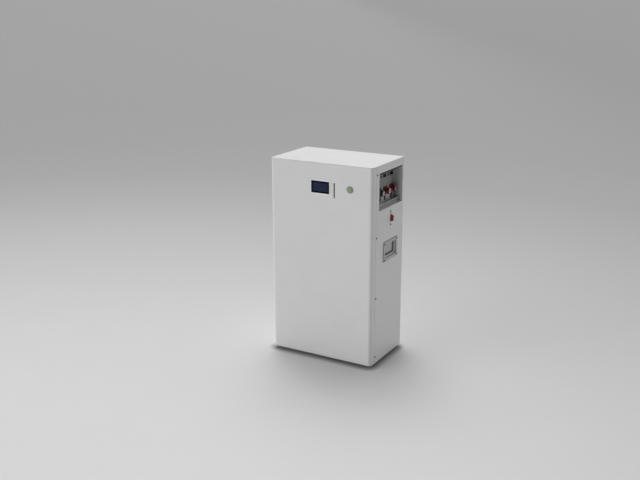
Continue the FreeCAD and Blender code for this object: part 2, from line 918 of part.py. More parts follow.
# ================================================================ terminal bay
def terminal_places():
    """The four battery terminals along Y, two negative towards the front and two positive behind them."""
    first = side_axis_y - 1.5 * terminal_pitch
    return [first + terminal_pitch * n for n in range(4)]


def jack_places():
    """The middle of each of the four network jacks along Y."""
    step = (jack_width + jack_gap) / 2
    places = []
    for offset in (front_jack_offset, rear_jack_offset):
        places.append(side_axis_y + offset - step)
        places.append(side_axis_y + offset + step)
    return places


def light_places():
    """The status lights along Y."""
    last = side_axis_y + light_last_offset
    return [last - light_pitch * n for n in range(light_count)]


switch_y = side_axis_y + address_switch_offset
switch_height = slider_count * slider_pitch + 2 * switch_margin
switch_face = bay_panel + switch_proud
reset_y = side_axis_y + reset_offset


def bay_walls():
    """The bay's four folded walls, each with the flange that fixes it to the side's inner face."""
    flange_back = inner_x - sheet
    walls = []
    for edge, out in ((bay_bottom, -1), (bay_top, 1)):
        low, high = sorted((edge, edge + out * sheet))
        wall = block(bay_panel_rear, inner_x, bay_front - sheet, bay_rear + sheet, low, high)
        low, high = sorted((edge, edge + out * bay_flange))
        flange = block(flange_back, inner_x, bay_front - bay_flange, bay_rear + bay_flange, low, high)
        walls.append(fuse([wall, flange]))
    for edge, out in ((bay_front, -1), (bay_rear, 1)):
        low, high = sorted((edge, edge + out * sheet))
        wall = block(bay_panel_rear, inner_x, low, high, bay_bottom, bay_top)
        low, high = sorted((edge, edge + out * bay_flange))
        flange = block(flange_back, inner_x, low, high, bay_bottom, bay_top)
        walls.append(fuse([wall, flange]))
    return walls


def terminal_bay():
    """The welded tray behind the side's opening: its walls, and its back with the cut-outs."""
    back = block(bay_panel_rear, bay_panel, bay_front, bay_rear, bay_bottom, bay_top)
    behind = bay_panel_rear - sheet
    cuts = []
    for y in terminal_places():
        cuts.append(
            rod(terminal_boss_radius + hole_clearance, (behind, y, terminal_z), (bay_panel, y, terminal_z))
        )
    gap = cutout_clearance
    for y in jack_places():
        half = jack_width / 2 + gap
        rise = jack_height / 2 + gap
        cuts.append(block(behind, bay_panel, y - half, y + half, port_row_z - rise, port_row_z + rise))
    half = switch_width / 2 + gap
    rise = switch_height / 2 + gap
    cuts.append(
        block(behind, bay_panel, switch_y - half, switch_y + half, port_row_z - rise, port_row_z + rise)
    )
    half = reset_size / 2 + gap
    cuts.append(
        block(behind, bay_panel, reset_y - half, reset_y + half, port_row_z - half, port_row_z + half)
    )
    for y in light_places():
        cuts.append(
            rod(light_radius + hole_clearance, (behind, y, light_row_z), (bay_panel, y, light_row_z))
        )
    return [back.cut(cuts)] + bay_walls()


def terminal_insulator(y):
    """One terminal's moulded insulator: a square flange in the bay, a tapered body and a boss behind."""
    flange_face = bay_panel + terminal_flange_height
    tip = bay_panel + terminal_protrusion
    size = terminal_flange_size
    flange = plate_x(bay_panel, flange_face, y, terminal_z, size, size, terminal_flange_corner)
    body = cone(
        terminal_body_radius, terminal_tip_radius, (flange_face, y, terminal_z), (tip, y, terminal_z)
    )
    boss = rod(terminal_boss_radius, (terminal_rear, y, terminal_z), (bay_panel, y, terminal_z))
    bore = rod(insert_radius + moulding_clearance, (terminal_rear, y, terminal_z), (tip, y, terminal_z))
    return fuse([flange, body, boss]).cut(bore)


def terminal_inserts():
    """The nickel-plated inserts: a threaded hole at the front and a stud behind."""
    inserts = []
    tip = bay_panel + terminal_protrusion + insert_proud
    for y in terminal_places():
        core = rod(insert_radius, (insert_rear, y, terminal_z), (tip, y, terminal_z))
        front_rim = [e for e in core.Edges if abs(e.BoundBox.XMin - tip) < 1e-6]
        core = core.makeChamfer(insert_chamfer, front_rim)
        stud = rod(
            m8_radius, (insert_rear - insert_stud_length, y, terminal_z), (insert_rear, y, terminal_z)
        )
        thread = rod(m8_radius, (tip - insert_thread_depth, y, terminal_z), (tip, y, terminal_z))
        inserts.append(fuse([core, stud]).cut(thread))
    return inserts


def terminal_nuts():
    """Behind the bay, each terminal has a ring nut on its boss and a hexagon nut on its stud."""
    nuts = []
    for y in terminal_places():
        near = (bay_panel_rear, y, terminal_z)
        far = (bay_panel_rear - terminal_nut_height, y, terminal_z)
        ring = rod(terminal_nut_radius, near, far)
        nuts.append(ring.cut(rod(terminal_boss_radius + thread_clearance, near, far)))
        near = (link_bar_rear, y, terminal_z)
        far = (link_bar_rear - stud_nut_height, y, terminal_z)
        small = hexagon(m8_head_flats, near, far)
        nuts.append(small.cut(rod(m8_radius + thread_clearance, near, far)))
    return nuts


def terminal_link_bars():
    """Two copper bars, each joining a pair of like terminals on their studs."""
    places = terminal_places()
    bars = []
    half = link_bar_width / 2
    for first, second in ((places[0], places[1]), (places[2], places[3])):
        bar = plate_x(
            link_bar_rear, insert_rear, (first + second) / 2, terminal_z, second - first + link_bar_width,
            link_bar_width, half / 2,
        )
        for y in (first, second):
            hole = m8_radius + hole_clearance
            bar = bar.cut(rod(hole, (link_bar_rear, y, terminal_z), (insert_rear, y, terminal_z)))
        bars.append(bar)
    return bars


# ================================================================ ports, switch, reset, lights
def comm_ports():
    """Four network jacks, each with a plug mouth and a latch notch above it."""
    jacks = []
    face = bay_panel + jack_proud
    for y in jack_places():
        low = port_row_z - jack_height / 2
        body = block(port_board_face, face, y - jack_width / 2, y + jack_width / 2, low, low + jack_height)
        mouth_low = low + jack_floor
        mouth_high = mouth_low + jack_mouth_height
        inner = face - jack_mouth_depth
        half = jack_mouth_width / 2
        mouth = block(inner, face, y - half, y + half, mouth_low, mouth_high)
        half = jack_latch_width / 2
        latch = block(inner, face, y - half, y + half, mouth_high, mouth_high + jack_latch_height)
        jacks.append(body.cut([mouth, latch]))
    return jacks


def port_board():
    """The board behind the bay, with the reset button's switch on it, held off by four spacers."""
    front = bay_front + port_board_margin
    rear = bay_rear - port_board_margin
    high = bay_top - port_board_top_margin
    low = high - port_board_height
    board = block(port_board_face - board_thickness, port_board_face, front, rear, low, high)
    half = tact_switch_size / 2
    switch_end = reset_flange_back - reset_travel - press_margin
    switch = block(
        port_board_face, switch_end, reset_y - half, reset_y + half, port_row_z - half, port_row_z + half
    )
    solids = [fuse([board, switch])]
    for y in (front + port_board_spacer_inset, rear - port_board_spacer_inset):
        for z in (low + port_board_spacer_inset, high - port_board_spacer_inset):
            solids.append(rod(port_board_spacer_radius, (port_board_face, y, z), (bay_panel_rear, y, z)))
    return solids


def slider_heights():
    """The address switch's sliders, from the top down."""
    first = port_row_z + slider_pitch * (slider_count - 1) / 2
    return [first - slider_pitch * n for n in range(slider_count)]


def address_switch():
    """The switch's block, with one slot for each slider."""
    half = switch_width / 2
    rise = switch_height / 2
    body = block(
        port_board_face, switch_face, switch_y - half, switch_y + half, port_row_z - rise, port_row_z + rise
    )
    slots = []
    reach = slider_length + slider_travel + 2 * slider_clearance
    for z in slider_heights():
        y0 = switch_y - reach / 2
        half_slot = slider_width / 2 + slider_clearance
        slots.append(
            block(switch_face - slider_slot_depth, switch_face, y0, y0 + reach, z - half_slot, z + half_slot)
        )
    return body.cut(slots)


def address_slider(z):
    """One slider, at the front end of its slot."""
    reach = slider_length + slider_travel + 2 * slider_clearance
    y0 = switch_y - reach / 2 + slider_clearance
    x0 = switch_face - slider_slot_depth + slider_clearance
    return block(
        x0, switch_face + slider_proud, y0, y0 + slider_length, z - slider_width / 2, z + slider_width / 2
    )


def reset_button():
    """A small square button with a flange behind the bay's back."""
    stem = plate_x(
        reset_flange_face, bay_panel + reset_proud, reset_y, port_row_z, reset_size, reset_size, reset_corner
    )
    wide = reset_size + 2 * reset_flange
    flange = plate_x(reset_flange_back, reset_flange_face, reset_y, port_row_z, wide, wide, reset_corner)
    return fuse([stem, flange])


def status_lights():
    """Domed light pipes from the board to the front of the bay's back."""
    lights = []
    for y in light_places():
        tip = bay_panel + light_proud
        pipe = rod(light_radius, (port_board_face, y, light_row_z), (tip, y, light_row_z))
        front_rim = [e for e in pipe.Edges if abs(e.BoundBox.XMin - tip) < 1e-6]
        lights.append(pipe.makeFillet(light_proud, front_rim))
    return lights


def earth_stud():
    """The earth stud on the bay's back, standing on its fixed nut."""
    y = side_axis_y + earth_stud_offset
    z = bay_bottom + earth_stud_height
    base = hexagon(earth_nut_flats, (bay_panel, y, z), (bay_panel + earth_nut_height, y, z))
    start = (bay_panel, y, z)
    stud = rod(earth_stud_radius, start, (bay_panel + earth_nut_height + earth_stud_length, y, z))
    return fuse([base, stud])


# ================================================================ breaker
pivot_x = half_width - rocker_pivot_depth


def breaker_body():
    """The breaker's case behind the side, with a well and pin holes for its rocker and two rear posts."""
    y0 = side_axis_y - breaker_width / 2
    y1 = side_axis_y + breaker_width / 2
    z0 = breaker_z - breaker_height / 2
    z1 = breaker_z + breaker_height / 2
    body = block(breaker_back, inner_x, y0, y1, z0, z1)
    half = breaker_post_size / 2
    for rise in (-breaker_post_rise, breaker_post_rise):
        z = breaker_z + rise
        body = body.fuse(
            block(
                breaker_post_face, breaker_back, side_axis_y - half, side_axis_y + half, z - half, z + half
            )
        )
    floor = pivot_x - rocker_root - rocker_floor_gap
    well = plate_x(floor, inner_x, rocker_y, breaker_z, slot_width, slot_length, slot_corner)
    reach = rocker_width / 2 + rocker_pin_length + pin_clearance
    start = (pivot_x, rocker_y - reach, breaker_z)
    pin_hole = rod(rocker_pin_radius + pin_clearance, start, (pivot_x, rocker_y + reach, breaker_z))
    cuts = [well, pin_hole]
    for rise in (-breaker_screw_spacing / 2, breaker_screw_spacing / 2):
        z = breaker_z + rise
        end = inner_x - breaker_screw_length
        cuts.append(rod(m4_radius + thread_clearance, (end, side_axis_y, z), (inner_x, side_axis_y, z)))
    return body.cut(cuts)


def breaker_rocker():
    """The red rocker: a tapered paddle with a thumb face and pivot pins, tipped to its on position."""
    y0 = rocker_y - rocker_width / 2
    outer = rocker_pivot_depth + rocker_protrusion

    def corner(out, up):
        return Vector(pivot_x + out, y0, breaker_z + up)

    tip = rocker_tip_length / 2
    base = rocker_base_length / 2
    root = rocker_root_length / 2
    thumb_face = Part.Arc(corner(outer, tip), corner(outer - rocker_dip, 0), corner(outer, -tip)).toShape()
    sides = [(outer, -tip), (rocker_pivot_depth, -base), (-rocker_root, -root), (-rocker_root, root)]
    sides += [(rocker_pivot_depth, base), (outer, tip)]
    outline = Part.makePolygon([corner(out, up) for out, up in sides])
    paddle = Part.Face(Part.Wire([thumb_face] + outline.Edges)).extrude(Vector(0, rocker_width, 0))
    rims = [e for e in paddle.Edges if e.BoundBox.XMin > pivot_x + rocker_pivot_depth + rocker_dip]
    paddle = paddle.makeFillet(rocker_edge_radius, rims)
    reach = rocker_width / 2 + rocker_pin_length
    start = (pivot_x, rocker_y - reach, breaker_z)
    pin = rod(rocker_pin_radius, start, (pivot_x, rocker_y + reach, breaker_z))
    rocker = fuse([paddle, pin])
    rocker.rotate(Vector(pivot_x, rocker_y, breaker_z), Y_AXIS, rocker_tilt)
    return rocker


def breaker_screws():
    """The two screws that hold the breaker to the side."""
    screws = []
    for rise in (-breaker_screw_spacing / 2, breaker_screw_spacing / 2):
        seat = (half_width, side_axis_y, breaker_z + rise)
        screws.append(m4_screw(seat, (-1, 0, 0), sheet + breaker_screw_length - hole_clearance))
    return screws


# ================================================================ lifting handles
handle_face = half_width + handle_plate_gauge
handle_floor = handle_face - handle_depth
island_face = handle_face - island_depth
bail_x = handle_face - bail_pivot_inset
bail_z = handle_z + handle_mouth_height / 2 - bail_pivot_drop
bail_arm_y = handle_mouth_width / 2 - bail_side_gap


def handle_screw_places():
    """The four screws at a handle plate's corners."""
    reach_y = handle_plate_width / 2 - handle_screw_inset_y
    reach_z = handle_plate_height / 2 - handle_screw_inset_z
    return [(side_axis_y + sy * reach_y, handle_z + sz * reach_z) for sy in (-1, 1) for sz in (-1, 1)]


def handle_dish():
    """The right-hand handle's plate, with the pressed dish that the bail hangs in round a raised island."""
    plate = plate_x(
        half_width,
        handle_face,
        side_axis_y,
        handle_z,
        handle_plate_width,
        handle_plate_height,
        handle_plate_corner,
    )
    front_rim = [e for e in plate.Edges if abs(e.BoundBox.XMin - handle_face) < 1e-6]
    plate = plate.makeFillet(handle_plate_gauge / 2, front_rim)
    outer = plate_x(
        handle_floor - handle_wall, half_width, side_axis_y, handle_z, handle_mouth_width + 2 * handle_wall,
        handle_mouth_height + 2 * handle_wall, handle_mouth_corner + handle_wall,
    )
    floor_rim = [e for e in outer.Edges if abs(e.BoundBox.XMax - (handle_floor - handle_wall)) < 1e-6]
    outer = outer.makeFillet(2 * handle_wall, floor_rim)
    inner = plate_x(
        handle_floor,
        handle_face,
        side_axis_y,
        handle_z,
        handle_mouth_width,
        handle_mouth_height,
        handle_mouth_corner,
    )
    floor_rim = [e for e in inner.Edges if abs(e.BoundBox.XMax - handle_floor) < 1e-6]
    inner = inner.makeFillet(handle_wall, floor_rim)
    low = handle_z - handle_mouth_height / 2 + island_rise
    high = handle_z + handle_mouth_height / 2
    reach = island_width / 2
    island = block(handle_floor, island_face, side_axis_y - reach, side_axis_y + reach, low, high)
    rims = [e for e in island.Edges if e.BoundBox.XMin > handle_floor and e.BoundBox.ZMin < high - 1]
    island = island.makeFillet(island_edge_radius, rims)
    reach = reach - handle_wall
    behind = handle_floor - handle_wall
    hollow_end = island_face - handle_wall
    hollow = block(
        behind, hollow_end, side_axis_y - reach, side_axis_y + reach, low + handle_wall, high - handle_wall
    )
    dish = fuse([plate, outer]).cut(inner).fuse(island).cut(hollow)
    cuts = []
    for side in (-1, 1):
        near = (bail_x, side_axis_y + side * (handle_mouth_width / 2 - handle_wall), bail_z)
        far = (bail_x, side_axis_y + side * (handle_mouth_width / 2 + 2 * handle_wall), bail_z)
        cuts.append(rod(bail_radius + pin_clearance, near, far))
    for y, z in handle_screw_places():
        cuts.append(rod(m4_radius + hole_clearance, (half_width, y, z), (handle_face, y, z)))
    return dish.cut(cuts)


def handle_bail():
    """The right-hand bail: one bent bar whose turned-out ends pivot in the dish's side walls."""
    pin_end = handle_mouth_width / 2 + handle_wall + bail_pin_overhang
    grip_z = bail_z - bail_reach
    points = [
        (bail_x, side_axis_y - pin_end, bail_z),
        (bail_x, side_axis_y - bail_arm_y, bail_z),
        (bail_x, side_axis_y - bail_arm_y, grip_z),
        (bail_x, side_axis_y + bail_arm_y, grip_z),
        (bail_x, side_axis_y + bail_arm_y, bail_z),
        (bail_x, side_axis_y + pin_end, bail_z),
    ]
    radii = [bail_pin_bend_radius, bail_bend_radius, bail_bend_radius, bail_pin_bend_radius]
    return tube(points, radii, bail_radius)


def handle_screws():
    """The screws of both handle plates."""
    screws = []
    for side in (1, -1):
        for y, z in handle_screw_places():
            seat = (side * handle_face, y, z)
            screws.append(m4_screw(seat, (-side, 0, 0), handle_plate_gauge + sheet + m4_nut_height))
    return screws


# ================================================================ cells and pack
def cell(x, row):
    """One prismatic cell on its side, with its two posts facing the front."""
    low = cells_bottom + row * cell_pitch
    case = block(x - cell_width / 2, x + cell_width / 2, pack_front, pack_back, low, low + cell_thickness)
    case = round_along(case, cell_corner_radius, Y_AXIS)
    middle = low + cell_thickness / 2
    for offset in (-post_offset, post_offset):
        case = case.fuse(rod(post_radius, (x + offset, pack_front, middle), (x + offset, post_face, middle)))
    return case


def cell_column(x):
    """A column of cells."""
    return [cell(x, row) for row in range(cell_rows)]


def cell_spacers():
    """Insulating sheets between the cells of each column."""
    sheets = []
    reach = cell_width / 2 - spacer_inset
    for x in (-column_x, column_x):
        for row in range(1, cell_rows):
            high = cells_bottom + row * cell_pitch
            low = high - spacer_thickness
            sheets.append(
                block(x - reach, x + reach, pack_front + spacer_inset, pack_back - spacer_inset, low, high)
            )
    return sheets


def busbar(x0, x1, z0, z1):
    """A flat copper link that covers the posts between two places."""
    half = busbar_width / 2
    link = block(x0 - half, x1 + half, busbar_face, post_face, z0 - half, z1 + half)
    return round_along(link, busbar_width / 4, Y_AXIS)


def cell_busbars():
    """The links that put the cells in series, with one across the foot of the two columns."""
    links = []
    middles = [cells_bottom + row * cell_pitch + cell_thickness / 2 for row in range(cell_rows)]
    for side in (-1, 1):
        outer_post = side * (column_x + post_offset)
        inner_post = side * (column_x - post_offset)
        for row in range(cell_rows - 1):
            x = outer_post if row % 2 == 0 else inner_post
            links.append(busbar(x, x, middles[row], middles[row + 1]))
    reach = column_x - post_offset
    links.append(busbar(-reach, reach, middles[0], middles[0]))
    return links


end_plate_reach = column_x + cell_width / 2 + end_plate_overhang


def tie_rod_places():
    """The four rods that hold the end plates together."""
    x = end_plate_reach - tie_rod_inset
    front = pack_front + end_plate_inset + tie_rod_end_inset
    rear = pack_back - end_plate_inset - tie_rod_end_inset
    return [(side * x, y) for side in (-1, 1) for y in (front, rear)]


def pack_end_plates():
    """The plates under and over the cells."""
    plates = []
    for low in (base_top, cells_top):
        front = pack_front + end_plate_inset
        back = pack_back - end_plate_inset
        plate = block(-end_plate_reach, end_plate_reach, front, back, low, low + end_plate_gauge)
        for x, y in tie_rod_places():
            plate = plate.cut(
                rod(tie_rod_radius + thread_clearance, (x, y, low), (x, y, low + end_plate_gauge))
            )
        plates.append(plate)
    return plates


def pack_tie_rods():
    """Threaded rods through both end plates, each with a nut on top."""
    rods = []
    for x, y in tie_rod_places():
        nut = hexagon(tie_nut_flats, (x, y, pack_top), (x, y, pack_top + tie_nut_height))
        bar = rod(
            tie_rod_radius, (x, y, base_top + tie_rod_floor_gap), (x, y, pack_top + 2 * tie_nut_height)
        )
        rods.append(fuse([bar, nut]))
    return rods


# ================================================================ battery management unit
bms_left = bms_offset - bms_width / 2
bms_right = bms_offset + bms_width / 2
bms_input_x = bms_offset - bms_block_spread
bms_output_x = bms_offset + bms_block_spread


def bms_heatsink():
    """The unit's finned heatsink, with its fins against the cabinet's back."""
    base_face = bms_face + bms_base
    parts = [block(bms_left, bms_right, bms_face, base_face, bms_bottom, bms_bottom + bms_height)]
    step = (bms_width - bms_fin_gauge) / (bms_fin_count - 1)
    for n in range(bms_fin_count):
        x = bms_left + step * n
        parts.append(block(x, x + bms_fin_gauge, base_face, inner_back, bms_bottom, bms_bottom + bms_height))
    return fuse(parts)


def bms_board():
    """The unit's board, with the two blocks that its power cables bolt to."""
    board = block(bms_left, bms_right, bms_board_face, bms_face, bms_bottom, bms_bottom + bms_height)
    half = bms_block_size / 2
    for x in (bms_input_x, bms_output_x):
        board = board.fuse(
            block(x - half, x + half, bms_block_face, bms_board_face, bms_z - half, bms_z + half)
        )
    return board


# ================================================================ power cables
pack_post_x = column_x - post_offset
pack_post_z = cells_bottom + (cell_rows - 1) * cell_pitch + cell_thickness / 2


def lug(place, facing, leaving):
    """A cable lug: its pad lies on a face at a place, and its barrel points where the cable leaves."""
    place = Vector(*place)
    facing = Vector(*facing)
    leaving = Vector(*leaving)
    across = facing.cross(leaving)
    corner = place - across * (lug_width / 2) - leaving * (lug_pad / 2)
    pad_points = [
        corner,
        corner + across * lug_width,
        corner + across * lug_width + leaving * lug_pad,
        corner + leaving * lug_pad,
        corner,
    ]
    pad = Part.Face(Part.makePolygon(pad_points)).extrude(facing * lug_gauge)
    barrel_start = place + facing * cable_radius + leaving * (lug_pad / 2 - lug_gauge)
    barrel_end = barrel_start + leaving * (lug_barrel + lug_gauge)
    return fuse([pad, rod(cable_radius, barrel_start, barrel_end)]), barrel_end


def run_cable(start, end, inner_points):
    """A cable between two lugs, with each bend as wide as its shorter run allows."""
    points = [tuple(start)] + inner_points + [tuple(end)]
    radii = []
    for before, here, after in zip(points[:-2], points[1:-1], points[2:]):
        back = Vector(*before) - Vector(*here)
        ahead = Vector(*after) - Vector(*here)
        half_turn = (math.pi - back.getAngle(ahead)) / 2
        radii.append(cable_bend_share * min(back.Length, ahead.Length) / math.tan(half_turn))
    return tube(points, radii, cable_radius)


def power_wiring():
    """The four power cables: two positive, two negative, and the eight lugs at their ends."""
    towards_front = (0, -1, 0)
    up = (0, 0, 1)
    down = (0, 0, -1)
    inward = (-1, 0, 0)
    rearward = (0, 1, 0)
    places = terminal_places()
    negative_bar_y = (places[0] + places[1]) / 2
    positive_bar_y = (places[2] + places[3]) / 2
    lower_post = (breaker_post_face, side_axis_y, breaker_z - breaker_post_rise)
    upper_post = (breaker_post_face, side_axis_y, breaker_z + breaker_post_rise)

    pack_plus, a0 = lug((pack_post_x, post_face, pack_post_z), towards_front, up)
    breaker_in, a1 = lug(lower_post, inward, towards_front)
    breaker_out, b0 = lug(upper_post, inward, rearward)
    plus_bar, b1 = lug((link_bar_rear, positive_bar_y, terminal_z), inward, down)
    pack_minus, c0 = lug((-pack_post_x, post_face, pack_post_z), towards_front, up)
    bms_in, c1 = lug((bms_input_x, bms_block_face, bms_z), towards_front, down)
    bms_out, d0 = lug((bms_output_x, bms_block_face, bms_z), towards_front, down)
    minus_bar, d1 = lug((link_bar_rear, negative_bar_y, terminal_z), inward, down)

    plus_in = run_cable(a0, a1, [(a0.x, a0.y, a1.z), (a1.x, a0.y, a1.z)])
    plus_out = run_cable(b0, b1, [(b0.x, b1.y - cable_chamfer, b0.z), (b1.x, b1.y, b0.z + cable_chamfer)])
    minus_in = run_cable(c0, c1, [(c0.x, c0.y, c1.z - cable_drop), (c1.x, c1.y, c1.z - cable_drop)])
    minus_out = run_cable(d0, d1, [(d0.x, d0.y, d0.z - cable_drop), (d1.x, d1.y, d0.z - cable_drop)])
    lugs = [pack_plus, breaker_in, breaker_out, plus_bar, pack_minus, bms_in, bms_out, minus_bar]
    return [plus_in, plus_out], [minus_in, minus_out], lugs


# ================================================================ export
def build():
    """Every node's solids by name."""
    terminals = terminal_places()
    positive_cables, negative_cables, cable_lugs = power_wiring()
    right_dish = handle_dish()
    right_bail = handle_bail()
    nodes = {
        "cabinet_wrap": cabinet_wrap(),
        "top_panel": [top_panel()],
        "base_panel": [base_panel()],
        "front_cover": [front_cover()],
        "cover_screws": cover_screws(),
        "cover_nuts": cover_nuts(),
        "rubber_feet": rubber_feet(),
        "foot_screws": foot_screws(),
        "hanger_rail": [hanger_rail()],
        "hanger_bolts": hanger_bolts(),
        "rivet_nuts": rivet_nuts(),
        "display_bezel": [display_bezel()],
        "display_lens": [display_lens()],
        "lcd_panel": [lcd_panel()],
        "display_board": display_board(),
        "power_button_body": [power_button_body()],
        "power_button_cap": [power_button_cap()],
        "power_button_nut": [power_button_nut()],
        "terminal_bay": terminal_bay(),
        "negative_terminal_1": [terminal_insulator(terminals[0])],
        "negative_terminal_2": [terminal_insulator(terminals[1])],
        "positive_terminal_1": [terminal_insulator(terminals[2])],
        "positive_terminal_2": [terminal_insulator(terminals[3])],
        "terminal_inserts": terminal_inserts(),
        "terminal_nuts": terminal_nuts(),
        "terminal_link_bars": terminal_link_bars(),
        "comm_ports": comm_ports(),
        "port_board": port_board(),
        "address_switch": [address_switch()],
        "reset_button": [reset_button()],
        "status_lights": status_lights(),
        "earth_stud": [earth_stud()],
        "breaker_body": [breaker_body()],
        "breaker_rocker": [breaker_rocker()],
        "right_handle_dish": [right_dish],
        "right_handle_bail": [right_bail],
        "left_handle_dish": [mirrored(right_dish)],
        "left_handle_bail": [mirrored(right_bail)],
        "fitting_screws": breaker_screws() + handle_screws(),
        "battery_cells": cell_column(-column_x) + cell_column(column_x),
        "cell_spacers": cell_spacers(),
        "cell_busbars": cell_busbars(),
        "pack_end_plates": pack_end_plates(),
        "pack_tie_rods": pack_tie_rods(),
        "bms_heatsink": [bms_heatsink()],
        "bms_board": [bms_board()],
        "positive_cables": positive_cables,
        "negative_cables": negative_cables,
        "cable_lugs": cable_lugs,
    }
    for number, z in enumerate(menu_button_heights(), 1):
        nodes[f"menu_button_{number}"] = [menu_button(z)]
    for number, z in enumerate(slider_heights(), 1):
        nodes[f"address_slider_{number}"] = [address_slider(z)]
    return nodes


def main():
    """Writes one STEP file for each node."""
    os.makedirs("parts", exist_ok=True)
    for name, solids in build().items():
        shape = solids[0] if len(solids) == 1 else Part.makeCompound(solids)
        shape.exportStep(f"parts/{name}.step")


main()
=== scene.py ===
"""Looks for the wall battery unit: materials, thin trim, floor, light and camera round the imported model."""

import json
import math

import bmesh
import bpy
from mathutils import Matrix, Vector


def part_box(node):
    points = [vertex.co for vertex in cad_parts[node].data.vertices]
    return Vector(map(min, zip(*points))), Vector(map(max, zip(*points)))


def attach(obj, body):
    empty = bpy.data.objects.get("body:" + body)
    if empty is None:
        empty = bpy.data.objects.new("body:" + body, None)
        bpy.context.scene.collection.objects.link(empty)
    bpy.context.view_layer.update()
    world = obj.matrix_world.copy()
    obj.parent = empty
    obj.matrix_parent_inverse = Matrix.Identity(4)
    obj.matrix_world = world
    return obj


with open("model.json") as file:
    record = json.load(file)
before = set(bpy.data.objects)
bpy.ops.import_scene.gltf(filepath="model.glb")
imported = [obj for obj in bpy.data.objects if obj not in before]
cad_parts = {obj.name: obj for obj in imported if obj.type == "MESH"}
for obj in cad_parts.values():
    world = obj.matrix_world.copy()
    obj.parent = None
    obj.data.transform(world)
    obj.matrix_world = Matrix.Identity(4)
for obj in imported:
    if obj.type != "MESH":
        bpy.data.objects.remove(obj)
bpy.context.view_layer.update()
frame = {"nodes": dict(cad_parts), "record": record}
nodes = frame["nodes"]
mm = 0.001

# ---------------------------------------------------------------- places the looks are tied to
sheet = 1.5 * mm
cabinet_low, cabinet_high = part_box("cabinet_wrap")
cover_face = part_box("front_cover")[0].y
bay_low, bay_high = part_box("terminal_bay")
bay_flange = 10.0 * mm
panel_face = bay_low.x + sheet
mouth_y = (bay_low.y + bay_flange, bay_high.y - bay_flange)
mouth_z = (bay_low.z + bay_flange, bay_high.z - bay_flange)


# ---------------------------------------------------------------- node helpers
class Surface:
    """A material under construction: one Principled shader, with patterns in the part's own coordinates."""

    def __init__(self, name, roughness=0.5, metallic=0.0, **sockets):
        self.material = bpy.data.materials.new(name)
        self.material.use_nodes = True
        self.tree = self.material.node_tree
        self.shader = self.tree.nodes["Principled BSDF"]
        self.shader.inputs["Roughness"].default_value = roughness
        self.shader.inputs["Metallic"].default_value = metallic
        for socket, value in sockets.items():
            self.shader.inputs[socket.replace("_", " ")].default_value = value
        self.place = self.node("ShaderNodeTexCoord").outputs["Object"]
        self.height = None

    def node(self, kind, **settings):
        made = self.tree.nodes.new(kind)
        for key, value in settings.items():
            setattr(made, key, value)
        return made

    def link(self, source, target):
        self.tree.links.new(source, target)

    def stretched(self, scale):
        """The object's coordinates, scaled apart along each axis."""
        mapping = self.node("ShaderNodeMapping")
        mapping.inputs["Scale"].default_value = scale
        self.link(self.place, mapping.inputs["Vector"])
        return mapping.outputs["Vector"]

    def noise(self, scale, detail=2.0, roughness=0.5, at=None, distortion=0.0):
        made = self.node("ShaderNodeTexNoise")
        made.inputs["Scale"].default_value = scale
        made.inputs["Detail"].default_value = detail
        made.inputs["Roughness"].default_value = roughness
        made.inputs["Distortion"].default_value = distortion
        self.link(at or self.place, made.inputs["Vector"])
        return made.outputs["Fac"]

    def cells(self, scale):
        made = self.node("ShaderNodeTexVoronoi")
        made.inputs["Scale"].default_value = scale
        self.link(self.place, made.inputs["Vector"])
        return made.outputs["Distance"]

    def math(self, operation, a, b=None):
        made = self.node("ShaderNodeMath", operation=operation)
        for socket, value in zip(made.inputs, (a, b)):
            if value is None:
                continue
            if isinstance(value, (int, float)):
                socket.default_value = value
            else:
                self.link(value, socket)
        return made.outputs[0]

    def ramp(self, value, low, high, to_low=0.0, to_high=1.0):
        """A value carried smoothly from one range to another."""
        made = self.node("ShaderNodeMapRange", interpolation_type="SMOOTHSTEP")
        for index, number in enumerate((low, high, to_low, to_high), 1):
            made.inputs[index].default_value = number
        self.link(value, made.inputs[0])
        return made.outputs[0]

    def axis(self, name):
        made = self.node("ShaderNodeSeparateXYZ")
        self.link(self.place, made.inputs[0])
        return made.outputs[name]

    def mix(self, factor, a, b):
        made = self.node("ShaderNodeMix", data_type="RGBA")
        for socket, value in ((made.inputs[0], factor), (made.inputs[6], a), (made.inputs[7], b)):
            if isinstance(value, (int, float)):
                socket.default_value = value
            elif isinstance(value, tuple):
                socket.default_value = (*value, 1.0)
            else:
                self.link(value, socket)
        return made.outputs[2]

    def colour(self, source):
        self.link(source, self.shader.inputs["Base Color"])

    def rough(self, source):
        self.link(source, self.shader.inputs["Roughness"])

    def bump(self, height, distance, strength=1.0):
        """Adds one layer of relief, its depth given in metres."""
        made = self.node("ShaderNodeBump")
        made.inputs["Strength"].default_value = strength
        made.inputs["Distance"].default_value = distance
        self.link(height, made.inputs["Height"])
        if self.height is not None:
            self.link(self.height, made.inputs["Normal"])
        self.height = made.outputs["Normal"]
        self.link(self.height, self.shader.inputs["Normal"])


def shade(colour, factor):
    return tuple(min(1.0, channel * factor) for channel in colour)


# ---------------------------------------------------------------- materials
def orange_peel(made):
    """Gives a surface the fine satin relief of stove enamel."""
    made.rough(made.ramp(made.noise(60.0, 2.0), 0.3, 0.7, 0.42, 0.52))
    made.bump(made.noise(900.0, 2.0, 0.6), 0.05 * mm, 0.6)
    made.bump(made.noise(260.0, 1.0), 0.09 * mm, 0.5)


def powder_coat(name, colour):
    """Stove-enamelled sheet steel: a fine satin orange peel with slight mottling."""
    made = Surface(name, roughness=0.5, Specular_IOR_Level=0.4)
    broad = made.noise(9.0, 3.0)
    fine = made.noise(420.0, 2.0)
    tone = made.mix(made.ramp(broad, 0.3, 0.7), shade(colour, 0.985), shade(colour, 1.01))
    made.colour(made.mix(made.ramp(fine, 0.35, 0.65, 0.0, 0.25), tone, shade(colour, 0.93)))
    orange_peel(made)
    return made.material


